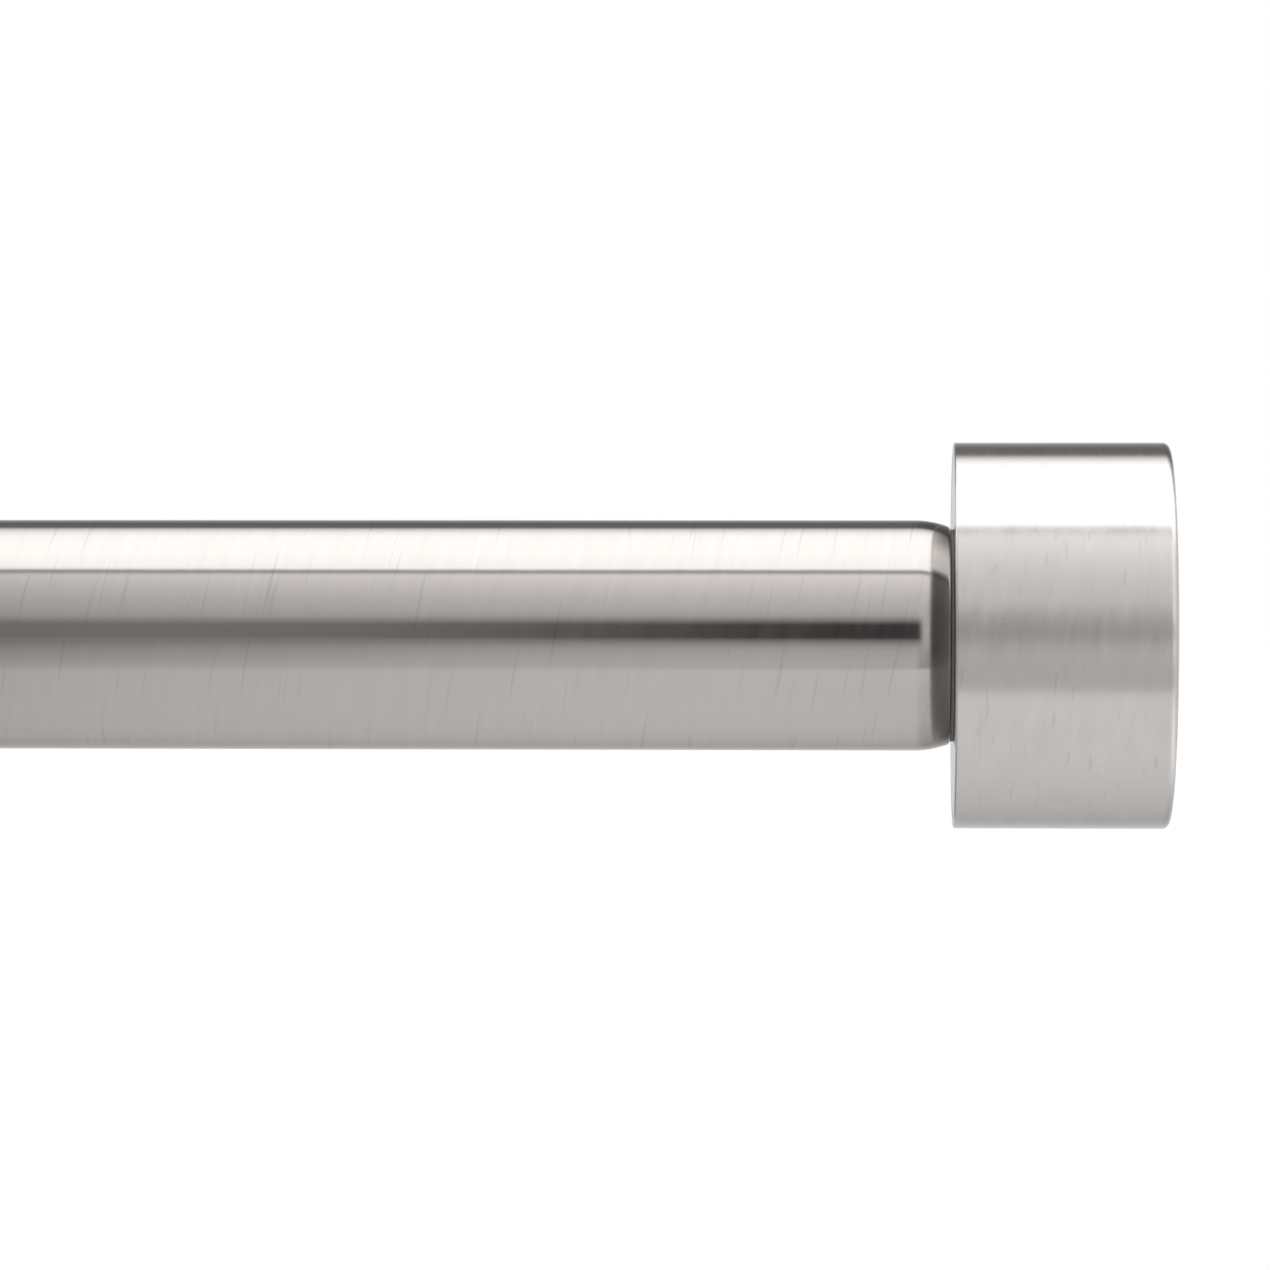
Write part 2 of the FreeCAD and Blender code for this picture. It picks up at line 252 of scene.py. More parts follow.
class Lathe:
    """The Geometry Nodes tree that turns a profile about X, and cuts its thread and its six-sided socket.

    A thread's section is flat at the crest and the root, which take up the parts of a pitch below CREST and
    above ROOT.
    """

    INPUTS = {
        "Segments": "NodeSocketInt",
        "Thread pitch": "NodeSocketFloat",
        "Thread depth": "NodeSocketFloat",
        "Crease above": "NodeSocketFloat",
        "Material": "NodeSocketMaterial",
    }
    MERGE_DISTANCE = 2e-6
    CREST = 0.14
    ROOT = 0.82
    SIDES = 6

    def __init__(self) -> None:
        """Builds the tree and its named inputs."""
        self.tree = bpy.data.node_groups.new("turned_about_x", "GeometryNodeTree")
        face = self.tree.interface
        face.new_socket("Geometry", in_out="INPUT", socket_type="NodeSocketGeometry")
        made = {n: face.new_socket(n, in_out="INPUT", socket_type=kind) for n, kind in self.INPUTS.items()}
        face.new_socket("Geometry", in_out="OUTPUT", socket_type="NodeSocketGeometry")
        self.identifiers = {name: socket.identifier for name, socket in made.items()}
        self.given = add_node(self.tree, "NodeGroupInput").outputs
        self.build()

    def sampled(self, station: Socket, label: str | None = None) -> Socket:
        """Adds the reading of one of the profile's values.

        Args:
            station: The number of the profile's point, for each point of the turned mesh.
            label: The value's name, or None for the point's place.

        Returns:
            The output that holds the value.
        """
        kind = "FLOAT" if label else "FLOAT_VECTOR"
        if label:
            source = add_node(self.tree, "GeometryNodeInputNamedAttribute", {"Name": label}, data_type=kind)
        else:
            source = add_node(self.tree, "GeometryNodeInputPosition")
        inputs = {"Geometry": self.given["Geometry"], "Value": source.outputs[0], "Index": station}
        return add_node(self.tree, "GeometryNodeSampleIndex", inputs, data_type=kind).outputs[0]

    def six_sided(self, plain: Socket, turn: Socket, station: Socket) -> Socket:
        """Adds the steps that make a radius six-sided where the profile says so.

        Args:
            plain: The profile's own radius, which is the distance to the middle of a flat.
            turn: The share of a full turn that the point has gone round.
            station: The number of the profile's point.

        Returns:
            The output that holds the radius.
        """
        tree = self.tree
        side_angle = FULL_TURN / self.SIDES
        sides = add_node(tree, MATH, {0: turn, 1: self.SIDES}, operation="MULTIPLY").outputs[0]
        side = add_node(tree, MATH, {0: sides, 1: 1.0}, operation="MODULO").outputs[0]
        off_middle = add_node(tree, MATH, {0: side, 1: 0.5}, operation="SUBTRACT").outputs[0]
        angle = add_node(tree, MATH, {0: off_middle, 1: side_angle}, operation="MULTIPLY").outputs[0]
        cosine = add_node(tree, MATH, {0: angle}, operation="COSINE").outputs[0]
        spread = add_node(tree, MATH, {0: 1.0, 1: cosine}, operation="DIVIDE").outputs[0]
        extra = add_node(tree, MATH, {0: spread, 1: 1.0}, operation="SUBTRACT").outputs[0]
        hexagon = self.sampled(station, "hexagon")
        extra = add_node(tree, MATH, {0: extra, 1: hexagon}, operation="MULTIPLY").outputs[0]
        stretch = add_node(tree, MATH, {0: extra, 1: 1.0}, operation="ADD").outputs[0]
        return add_node(tree, MATH, {0: plain, 1: stretch}, operation="MULTIPLY").outputs[0]

    def threaded(self, plain: Socket, x: Socket, turn: Socket, station: Socket) -> Socket:
        """Adds the steps that cut a thread into a radius where the profile says so.

        Args:
            plain: The radius before it is cut.
            x: The point's place along the axis.
            turn: The share of a full turn that the point has gone round.
            station: The number of the profile's point.

        Returns:
            The output that holds the radius.
        """
        tree = self.tree
        pitches = add_node(tree, MATH, {0: x, 1: self.given["Thread pitch"]}, operation="DIVIDE").outputs[0]
        pitches = add_node(tree, MATH, {0: pitches, 1: turn}, operation="ADD").outputs[0]
        phase = add_node(tree, MATH, {0: pitches}, operation="FRACT").outputs[0]
        valley = add_node(tree, MATH, {0: phase, 1: 2.0, 2: -1.0}, operation="MULTIPLY_ADD").outputs[0]
        valley = add_node(tree, MATH, {0: valley}, operation="ABSOLUTE").outputs[0]
        cut = add_node(tree, "ShaderNodeMapRange", {0: valley, 1: self.CREST, 2: self.ROOT}).outputs[0]
        full, share = self.given["Thread depth"], self.sampled(station, "thread")
        depth = add_node(tree, MATH, {0: full, 1: share}, operation="MULTIPLY").outputs[0]
        depth = add_node(tree, MATH, {0: depth, 1: cut}, operation="MULTIPLY").outputs[0]
        return add_node(tree, MATH, {0: plain, 1: depth}, operation="SUBTRACT").outputs[0]

    def build(self) -> None:
        """Adds the tree's nodes, from the profile to the finished mesh."""
        tree, segments, profile = self.tree, self.given["Segments"], self.given["Geometry"]
        points = add_node(tree, "GeometryNodeAttributeDomainSize", {"Geometry": profile}).outputs[0]
        columns = add_node(tree, MATH, {0: segments, 1: 1.0}, operation="ADD").outputs[0]
        grid = add_node(tree, "GeometryNodeMeshGrid", {"Vertices X": points, "Vertices Y": columns})

        # The grid's points count round each station of the profile in turn.
        index = add_node(tree, "GeometryNodeInputIndex").outputs[0]
        inside = add_node(tree, MATH, {0: index, 1: 0.5}, operation="ADD").outputs[0]
        station = add_node(tree, MATH, {0: inside, 1: columns}, operation="DIVIDE").outputs[0]
        station = add_node(tree, MATH, {0: station}, operation="FLOOR").outputs[0]
        first = add_node(tree, MATH, {0: station, 1: columns}, operation="MULTIPLY").outputs[0]
        column = add_node(tree, MATH, {0: index, 1: first}, operation="SUBTRACT").outputs[0]
        turn = add_node(tree, MATH, {0: column, 1: segments}, operation="DIVIDE").outputs[0]

        x, plain, _ = add_node(tree, "ShaderNodeSeparateXYZ", {0: self.sampled(station)}).outputs
        radius = self.threaded(self.six_sided(plain, turn, station), x, turn, station)
        angle = add_node(tree, MATH, {0: turn, 1: -FULL_TURN}, operation="MULTIPLY").outputs[0]
        cosine = add_node(tree, MATH, {0: angle}, operation="COSINE").outputs[0]
        sine = add_node(tree, MATH, {0: angle}, operation="SINE").outputs[0]
        y = add_node(tree, MATH, {0: radius, 1: cosine}, operation="MULTIPLY").outputs[0]
        z = add_node(tree, MATH, {0: radius, 1: sine}, operation="MULTIPLY").outputs[0]
        place = add_node(tree, "ShaderNodeCombineXYZ", {0: x, 1: y, 2: z}).outputs[0]
        shape = add_node(
            tree, "GeometryNodeSetPosition", {"Geometry": grid.outputs["Mesh"], "Position": place}
        ).outputs[0]

        # The UV map's values are worked out on the points, where their numbers are those of the profile.
        travel = self.sampled(station, "travel")
        flat = add_node(tree, "ShaderNodeCombineXYZ", {0: travel, 1: turn}).outputs[0]
        flat = add_node(
            tree, "GeometryNodeFieldOnDomain", {"Value": flat}, data_type="FLOAT_VECTOR", domain="POINT"
        ).outputs[0]
        shape = add_node(
            tree,
            "GeometryNodeStoreNamedAttribute",
            {"Geometry": shape, "Name": UV_LAYER, "Value": flat},
            data_type="FLOAT2",
            domain="CORNER",
        ).outputs[0]

        # The first and last columns meet in a seam, which is closed. Edges that bend enough are kept crisp.
        shape = add_node(
            tree, "GeometryNodeMergeByDistance", {"Geometry": shape, "Distance": self.MERGE_DISTANCE}
        ).outputs[0]
        shape = add_node(tree, "GeometryNodeSetShadeSmooth", {"Geometry": shape}).outputs[0]
        bend, limit = add_node(tree, "GeometryNodeInputMeshEdgeAngle").outputs[0], self.given["Crease above"]
        crisp = add_node(tree, MATH, {0: bend, 1: limit}, operation="GREATER_THAN").outputs[0]
        edges = {"Geometry": shape, "Selection": crisp, "Shade Smooth": False}
        shape = add_node(tree, "GeometryNodeSetShadeSmooth", edges, domain="EDGE").outputs[0]
        shape = add_node(tree, "GeometryNodeRealizeInstances", {"Geometry": shape}).outputs[0]
        shape = add_node(
            tree, "GeometryNodeSetMaterial", {"Geometry": shape, "Material": self.given["Material"]}
        ).outputs[0]
        add_node(tree, "NodeGroupOutput", {"Geometry": shape})

    def turn(self, wire: bpy.types.Mesh, name: str, values: dict[str, object]) -> bpy.types.Object:
        """Turns a profile's wire into a plain mesh.

        Args:
            wire: The profile's mesh of edges.
            name: The finished piece's name.
            values: What the tree's named inputs get.

        Returns:
            The finished piece, with no modifier left on it.
        """
        blank = bpy.data.objects.new(f"{name}_profile", wire)
        bpy.context.scene.collection.objects.link(blank)
        modifier = blank.modifiers.new("turned", "NODES")
        modifier.node_group = self.tree
        for label, value in values.items():
            modifier[self.identifiers[label]] = value
        graph = bpy.context.evaluated_depsgraph_get()
        mesh = bpy.data.meshes.new_from_object(blank.evaluated_get(graph))
        mesh.name = name
        piece = bpy.data.objects.new(name, mesh)
        bpy.context.scene.collection.objects.link(piece)
        bpy.data.objects.remove(blank)
        bpy.data.meshes.remove(wire)
        return piece


@dataclass(frozen=True)
class Finish:
    """What every finish has: a name, the record's slot it belongs to, and its darkest and lightest colour."""

    name: str
    slot: str
    dark: str
    light: str

    def surface(self, tree: bpy.types.NodeTree) -> dict[str | int, object]:
        """Adds the finish's own nodes, and tells what each of the shader's sockets gets."""
        raise NotImplementedError

    def build(self) -> bpy.types.Material:
        """Makes the finish's material.

        Returns:
            A material of one shader with the finish's surface.
        """
        material = bpy.data.materials.new(self.name)
        material.use_nodes = True
        tree = material.node_tree
        tree.nodes.clear()
        shader = add_node(tree, "ShaderNodeBsdfPrincipled", self.surface(tree))
        add_node(tree, "ShaderNodeOutputMaterial", {"Surface": shader.outputs[0]})
        return material

    def blended(self, tree: bpy.types.NodeTree, share: Socket) -> Socket:
        """Adds the finish's colour.

        Args:
            tree: The material's tree.
            share: 0 where the colour is the darkest, and 1 where it is the lightest.

        Returns:
            The output that holds the colour.
        """
        ends = {"Factor": share, "A": linear(self.dark), "B": linear(self.light)}
        return add_node(tree, "ShaderNodeMix", ends, data_type="RGBA").outputs[2]

    def clouds(self, tree: bpy.types.NodeTree, size: float, detail: float, distortion: float = 0.0) -> Socket:
        """Adds a pattern that is alike in every direction.

        Args:
            tree: The material's tree.
            size: Millimetres for one step of the pattern.
            detail: How many finer layers it has.
            distortion: How far it is stirred.

        Returns:
            The output that holds the pattern, from 0 to 1.
        """
        place = add_node(tree, "ShaderNodeTexCoord").outputs["Object"]
        inputs = {"Vector": place, "Scale": 1 / MM / size, "Detail": detail, "Distortion": distortion}
        return add_node(tree, "ShaderNodeTexNoise", inputs).outputs[0]


@dataclass(frozen=True)
class BrushedNickel(Finish):
    """Nickel plate on steel, brushed on a lathe before a thin clear coat.

    The brush leaves fine lines round the piece. They spread a reflection along the piece and leave it sharp
    round it, which gives the long straight bands of light, and each line is a little lighter, darker or
    duller than the next one. Real brush lines are under 0.1 mm wide, too fine to show, so they are drawn
    several times coarser.
    """

    line_width: float
    line_length: float
    slant: float
    roughness: Pair
    relief: float
    wave: float
    wave_height: float
    scratch: str
    scratch_length: float
    anisotropy: float
    line_detail: float = 3.0
    wave_detail: float = 1.0
    patch_width: float = 4.0
    patch_length: float = 1.5
    patch_share: float = 0.2
    patch_detail: float = 1.0
    scratch_width: float = 0.4
    scratch_reach: Pair = (0.7, 0.85)
    scratch_detail: float = 0.0
    dull_reach: Pair = (0.25, 0.75)

    def lines(
        self, tree: bpy.types.NodeTree, width: float, length: float, slant: float, detail: float
    ) -> Socket:
        """Adds a pattern that is drawn out round the piece.

        Args:
            tree: The material's tree.
            width: Millimetres along the piece for one step of the pattern.
            length: Millimetres round the piece for one step of the pattern.
            slant: How far the lines lean off a true circle, in degrees.
            detail: How many finer layers it has.

        Returns:
            The output that holds the pattern, from 0 to 1.
        """
        travel = add_node(tree, "ShaderNodeUVMap", uv_map=UV_LAYER).outputs[0]
        travel = add_node(tree, "ShaderNodeSeparateXYZ", {0: travel}).outputs[0]
        place = add_node(tree, "ShaderNodeTexCoord").outputs["Object"]
        _, across, up = add_node(tree, "ShaderNodeSeparateXYZ", {0: place}).outputs
        lean = -math.tan(math.radians(slant)) / MM / width
        steps = add_node(tree, MATH, {0: travel, 1: 1 / width}, operation="MULTIPLY").outputs[0]
        steps = add_node(tree, MATH, {0: up, 1: lean, 2: steps}, operation="MULTIPLY_ADD").outputs[0]
        across = add_node(tree, MATH, {0: across, 1: 1 / MM / length}, operation="MULTIPLY").outputs[0]
        up = add_node(tree, MATH, {0: up, 1: 1 / MM / length}, operation="MULTIPLY").outputs[0]
        place = add_node(tree, "ShaderNodeCombineXYZ", {0: steps, 1: across, 2: up}).outputs[0]
        inputs = {"Vector": place, "Scale": 1.0, "Detail": detail}
        return add_node(tree, "ShaderNodeTexNoise", inputs).outputs[0]

    def coloured(self, tree: bpy.types.NodeTree, grain: Socket) -> Socket:
        """Adds the nickel's colour, line by line, with its rare scratches.

        Args:
            tree: The material's tree.
            grain: The output that holds the brush lines.

        Returns:
            The output that holds the colour.
        """
        width, length = self.line_width * self.patch_width, self.line_length * self.patch_length
        patch = self.lines(tree, width, length, self.slant, self.patch_detail)
        fine = add_node(tree, MATH, {0: grain, 1: 1 - self.patch_share}, operation="MULTIPLY").outputs[0]
        both = add_node(
            tree, MATH, {0: patch, 1: self.patch_share, 2: fine}, operation="MULTIPLY_ADD"
        ).outputs[0]
        contrast = add_node(tree, "ShaderNodeMapRange", {0: both, **NOISE_REACH}).outputs[0]
        width = self.line_width * self.scratch_width
        rare = self.lines(tree, width, self.scratch_length, self.slant, self.scratch_detail)
        few, many = self.scratch_reach
        scratched = add_node(tree, "ShaderNodeMapRange", {0: rare, 1: few, 2: many}).outputs[0]
        ends = {"Factor": scratched, "A": self.blended(tree, contrast), "B": linear(self.scratch)}
        return add_node(tree, "ShaderNodeMix", ends, data_type="RGBA").outputs[2]

    def surface(self, tree: bpy.types.NodeTree) -> dict[str | int, object]:
        """Adds the nickel's lines, scratches and slight unevenness.

        Args:
            tree: The material's tree.

        Returns:
            What each of the shader's sockets gets.
        """
        grain = self.lines(tree, self.line_width, self.line_length, self.slant, self.line_detail)
        reach = dict(zip((1, 2, 3, 4), self.dull_reach + self.roughness))
        dull = add_node(tree, "ShaderNodeMapRange", {0: grain, **reach}).outputs[0]
        swell = {"Height": self.lines(tree, self.wave, self.wave, 0.0, self.wave_detail)}
        uneven = add_node(tree, "ShaderNodeBump", {"Distance": self.wave_height * MM, **swell}).outputs[0]
        cut = {"Distance": self.relief * MM, "Height": grain, "Normal": uneven}
        along = add_node(tree, "ShaderNodeTangent", direction_type="UV_MAP", uv_map=UV_LAYER).outputs[0]
        return {
            "Metallic": 1.0,
            "Anisotropic": self.anisotropy,
            "Base Color": self.coloured(tree, grain),
            "Roughness": dull,
            "Normal": add_node(tree, "ShaderNodeBump", cut).outputs[0],
            "Tangent": along,
        }


@dataclass(frozen=True)
class PressedNickel(Finish):
    """Nickel plate on pressed sheet that was never brushed: almost a mirror, with a slight swell."""

    swell: float = 1.6
    swell_height: float = 0.003
    roughness: Pair = (0.1, 0.16)
    detail: float = 3.0

    def surface(self, tree: bpy.types.NodeTree) -> dict[str | int, object]:
        """Adds the plain nickel's clouds, in its colour, its shine and its swell.

        Args:
            tree: The material's tree.

        Returns:
            What each of the shader's sockets gets.
        """
        clouds = self.clouds(tree, self.swell, self.detail)
        low, high = self.roughness
        dull = {0: clouds, **NOISE_REACH, 3: low, 4: high}
        swell = {"Distance": self.swell_height * MM, "Height": clouds}
        return {
            "Metallic": 1.0,
            "Base Color": self.blended(tree, clouds),
            "Roughness": add_node(tree, "ShaderNodeMapRange", dull).outputs[0],
            "Normal": add_node(tree, "ShaderNodeBump", swell).outputs[0],
        }


@dataclass(frozen=True)
class ZincPlate(Finish):
    """Bright zinc plate on turned steel: a cool metal with faint blue-grey clouds and a soft shine."""

    cloud: float = 2.5
    roughness: Pair = (0.24, 0.4)
    detail: float = 4.0

    def surface(self, tree: bpy.types.NodeTree) -> dict[str | int, object]:
        """Adds the zinc's clouds, whose light parts shine the most.

        Args:
            tree: The material's tree.

        Returns:
            What each of the shader's sockets gets.
        """
        clouds = self.clouds(tree, self.cloud, self.detail)
        share = add_node(tree, "ShaderNodeMapRange", {0: clouds, **NOISE_REACH}).outputs[0]
        low, high = self.roughness
        dull = {0: clouds, **NOISE_REACH, 3: high, 4: low}
        return {
            "Metallic": 1.0,
            "Base Color": self.blended(tree, share),
            "Roughness": add_node(tree, "ShaderNodeMapRange", dull).outputs[0],
        }


@dataclass(frozen=True)
class MouldedNylon(Finish):
    """Injection moulded nylon: a slightly waxy plastic with the fine even texture of a sparked mould."""

    spark: float = 0.25
    spark_detail: float = 2.0
    roughness: Pair = (0.42, 0.56)
    relief: float = 0.012
    drift: float = 8.333
    drift_detail: float = 3.0
    ior: float = 1.53
    scatter: float = 0.06
    scatter_reach: tuple[float, float, float] = (1.2, 1.0, 0.8)

    def surface(self, tree: bpy.types.NodeTree) -> dict[str | int, object]:
        """Adds the nylon's mould texture and the slow drift in its colour.

        Args:
            tree: The material's tree.

        Returns:
            What each of the shader's sockets gets.
        """
        drift = self.clouds(tree, self.drift, self.drift_detail)
        pits = self.clouds(tree, self.spark, self.spark_detail)
        low, high = self.roughness
        dull = {0: pits, **NOISE_REACH, 3: low, 4: high}
        texture = {"Distance": self.relief * MM, "Height": pits}
        return {
            "IOR": self.ior,
            "Subsurface Weight": self.scatter,
            "Subsurface Radius": [reach * MM for reach in self.scatter_reach],
            "Base Color": self.blended(tree, drift),
            "Roughness": add_node(tree, "ShaderNodeMapRange", dull).outputs[0],
            "Normal": add_node(tree, "ShaderNodeBump", texture).outputs[0],
        }


@dataclass(frozen=True)
class VulcanisedFibre(Finish):
    """Grey vulcanised fibre, punched from sheet: dull, with the short soft hairs of pressed cotton."""

    hair: float = 0.35
    hair_detail: float = 5.0
    hair_stir: float = 1.4
    relief: float = 0.02
    ior: float = 1.5
    roughness: float = 0.72

    def surface(self, tree: bpy.types.NodeTree) -> dict[str | int, object]:
        """Adds the fibre's hairs, in its colour and its relief.

        Args:
            tree: The material's tree.

        Returns:
            What each of the shader's sockets gets.
        """
        hairs = self.clouds(tree, self.hair, self.hair_detail, self.hair_stir)
        felt = {"Distance": self.relief * MM, "Height": hairs}
        return {
            "IOR": self.ior,
            "Roughness": self.roughness,
            "Base Color": self.blended(tree, hairs),
            "Normal": add_node(tree, "ShaderNodeBump", felt).outputs[0],
        }


class Coating(Enum):
    """The finishes of the rod's pieces."""

    # Welded steel tube, brushed as it turns past a belt: slanted lines, and bands of light along its length.
    TUBE_NICKEL = BrushedNickel(
        name="brushed_nickel_tube",
        slot="brushed_nickel_plate",
        dark="bdb8b5",
        light="c2bdba",
        scratch="b6b1ae",
        scratch_length=10.0,
        line_width=1.2,
        line_length=9.0,
        slant=11.0,
        roughness=(0.1, 0.12),
        relief=0.0008,
        wave=2.6,
        wave_height=0.005,
        anisotropy=0.85,
    )
    # Drawn steel cup, brushed as it spins: short lines nearly square to the axis, and a softer shine. Its
    # colour is lighter than the tubes' same nickel plate as painted light, which brightens its reflections.
    CAP_NICKEL = BrushedNickel(
        name="brushed_nickel_cap",
        slot="brushed_nickel_plate",
        # Painted light: these colours are lighter than the tubes' nickel, so the cap reads brighter beside
        # the tube.
        dark="dad6d3",
        light="e5e1de",
        scratch="d5d1ce",
        scratch_length=3.0,
        line_width=1.2,
        line_length=5.0,
        slant=3.0,
        roughness=(0.25, 0.3),
        relief=0.001,
        wave=2.2,
        wave_height=0.003,
        anisotropy=1.0,
    )
    # The plate behind the cup, as it came from the plating bath: clearer and cooler than the brushed metal.
    PLATE_NICKEL = PressedNickel(
        name="plain_nickel", slot="brushed_nickel_plate", dark="b8b7b5", light="c1c0be"
    )
    # Nuts, bosses and studs, turned and then plated: a pale blue-grey with a soft shine.
    ZINC = ZincPlate(name="bright_zinc_plate", slot="zinc_plated_steel", dark="c4c9cf", light="dcdfe2")
    # The bush at the tube's mouth, moulded in a grey that goes with the nickel: even and half matt.
    GREY_NYLON = MouldedNylon(name="grey_moulded_nylon", slot="grey_nylon", dark="9b9a98", light="a6a5a2")
    # The inserts and the glide, moulded without a colour: a warm and waxy off-white.
    NATURAL_NYLON = MouldedNylon(
        name="natural_moulded_nylon", slot="natural_nylon", dark="e2ddd0", light="ebe6da"
    )
    # The washers between the tubes and the caps: a dull grey line.
    FIBRE = VulcanisedFibre(name="grey_vulcanised_fibre", slot="grey_fibre", dark="7a7876", light="8a8885")


class Workshop:
    """Turns new pieces in place of the frame's, and coats the pieces that stay."""

    CREASE_ANGLE = 33

    def __init__(self) -> None:
        """Sets up the lathe, with no material made yet."""
        self.lathe = Lathe()
        self.materials: dict[Coating, bpy.types.Material] = {}

    def material(self, coating: Coating) -> bpy.types.Material:
        """Finds a coating's material, which is made once.

        Args:
            coating: The finish.

        Returns:
            Its material.
        """
        if coating not in self.materials:
            self.materials[coating] = coating.value.build()
        return self.materials[coating]

    def turn(
        self,
        node: str,
        body: str,
        profile: Profile,
        datum: Datum,
        coating: Coating,
        segments: int = 256,
        thread: Pair = (1.0, 0.0),
    ) -> None:
        """Turns one piece and puts it in the place of the frame's node of that name.

        Args:
            node: The node that the piece stands for.
            body: The body that it moves with.
            profile: Its section.
            datum: Where the section is measured from.
            coating: Its finish.
            segments: How many flats the turning is drawn with.
            thread: The thread's pitch and depth in millimetres.
        """
        pitch, depth = thread
        values = {
            "Segments": segments,
            "Thread pitch": pitch * MM,
            "Thread depth": depth * MM,
            "Crease above": math.radians(self.CREASE_ANGLE),
            "Material": self.material(coating),
        }
        name = f"{node}_looks"
        piece = self.lathe.turn(profile.mesh(name, datum), name, values)
        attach(piece, body)
        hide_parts(node)
        LOG.info("turned %s: %d faces", name, len(piece.data.polygons))

    def coat(self, node: str, coating: Coating) -> None:
        """Gives a piece of the frame its finish.

        Args:
            node: The frame's node, which keeps its shape.
            coating: Its finish.
        """
        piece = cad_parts[node]
        for slot in piece.material_slots:
            slot.material = self.material(coating)
        LOG.info("coated %s", node)


@dataclass
class Tube:
    """A steel tube with one end spun to a dome and a flat lip, and the insert and nut behind the lip."""

    node: str
    body: str
    end: End
    radius: float
    wall: float = 0.6
    dome_radius: float = 10.2
    dome_length: float = 3.9
    dome_steps: int = 20
    inner_steps: int = 12
    lip_corner: float = 0.5
    lip_corner_steps: int = 10
    lip_bore: float = 7.5
    edge_break: float = 0.08
    bead_depth: float = 0.8
    bead_half: float = 1.5

    def datum(self) -> Datum:
        """The outer face of the tube's lip."""
        return Datum(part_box(self.node)[max(self.end.value, 0)].x, self.end)

    def length(self) -> float:
        """The tube's length in the frame, in millimetres."""
        low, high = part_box(self.node)
        return (high.x - low.x) / MM

    def profile(self, bead_from_end: float | None = None) -> Profile:
        """Draws the tube's wall.

        Args:
            bead_from_end: How far the rolled bead's middle is from the open end, or None for no bead.

        Returns:
            The wall's section, measured from the lip.
        """
        bore = self.radius - self.wall
        back = -self.length()
        small = self.edge_break
        dome = (-self.dome_length, self.radius - self.dome_radius)
        reach = self.dome_radius - self.lip_corner
        lean = math.degrees(math.asin((self.dome_length - self.lip_corner) / reach))
        corner = (-self.lip_corner, dome[1] + reach * math.cos(math.radians(lean)))
        inner = self.dome_radius - self.wall
        inner_lean = math.degrees(math.asin((self.dome_length - self.wall) / inner))
        wall = Profile().add(back, bore + small).to(back, self.radius - small).to(back + small, self.radius)
        if bead_from_end:
            wall.groove(back + bead_from_end, self.bead_half, self.bead_depth)
        wall.to(-self.dome_length, self.radius)
        wall.round(dome, self.dome_radius, 90, 90 - lean, self.dome_steps)
        wall.round(corner, self.lip_corner, 90 - lean, 0, self.lip_corner_steps)
        wall.to(0, self.lip_bore + small).to(-small, self.lip_bore).to(-self.wall, self.lip_bore)
        wall.to(-self.wall, dome[1] + inner * math.cos(math.radians(inner_lean)))
        wall.round(dome, inner, 90 - inner_lean, 90, self.inner_steps)
        if bead_from_end:
            wall.groove(back + bead_from_end, -self.bead_half - self.wall / 2, self.bead_depth)
        return wall.to(back + small, bore).closed()

    def build(self, shop: Workshop) -> None:
        """Makes the tube and coats the insert and nut in its end."""
        shop.turn(self.node, self.body, self.profile(), self.datum(), Coating.TUBE_NICKEL)
        self.coat_end(shop)

    def coat_end(self, shop: Workshop) -> None:
        """Coats the insert and the nut that the tube's end holds."""
        shop.coat(f"{self.end.side}_end_insert", Coating.NATURAL_NYLON)
        shop.coat(f"{self.end.side}_end_nut", Coating.ZINC)


@dataclass
class OuterRod(Tube):
    """The wide tube, with the bush in its open mouth that carries the thinner one."""

    bush_node: str = "mouth_bush"
    bush_flange: float = 1.0
    bush_edge: float = 0.5
    bush_bore: float = 11.18
    bush_lead_in: float = 0.4

    def bush_profile(self) -> Profile:
        """Draws the bush, measured from the outer face of its flange.

        Returns:
            The bush's section.
        """
        low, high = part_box(self.bush_node)
        length = (high.x - low.x) / MM
        shank = self.radius - self.wall
        bore, lead = self.bush_bore, self.bush_lead_in
        bush = Profile().add(0, bore + lead).to(0, self.radius - self.bush_edge)
        bush.round((self.bush_edge, self.radius - self.bush_edge), self.bush_edge, 180, 90)
        bush.to(self.bush_flange, self.radius).to(self.bush_flange, shank)
        bush.to(length, shank).to(length, bore + lead)
        return bush.to(length - lead, bore).to(lead, bore).closed()

    def build(self, shop: Workshop) -> None:
        """Makes the wide tube and its bush.

        Args:
            shop: The workshop that turns and coats the pieces.
        """
        super().build(shop)
        datum = Datum(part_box(self.bush_node)[0].x, End.RIGHT)
        shop.turn(self.bush_node, self.body, self.bush_profile(), datum, Coating.GREY_NYLON)


@dataclass
class InnerRod(Tube):
    """The thinner tube, with the rolled bead that holds the glide on its hidden end."""

    bead_from_end: float = 7.0
    glide_node: str = "glide"

    def build(self, shop: Workshop) -> None:
        """Makes the thinner tube, and coats its end's pieces and the glide.

        Args:
            shop: The workshop that turns and coats the pieces.
        """
        shop.turn(self.node, self.body, self.profile(self.bead_from_end), self.datum(), Coating.TUBE_NICKEL)
        self.coat_end(shop)
        shop.coat(self.glide_node, Coating.NATURAL_NYLON)


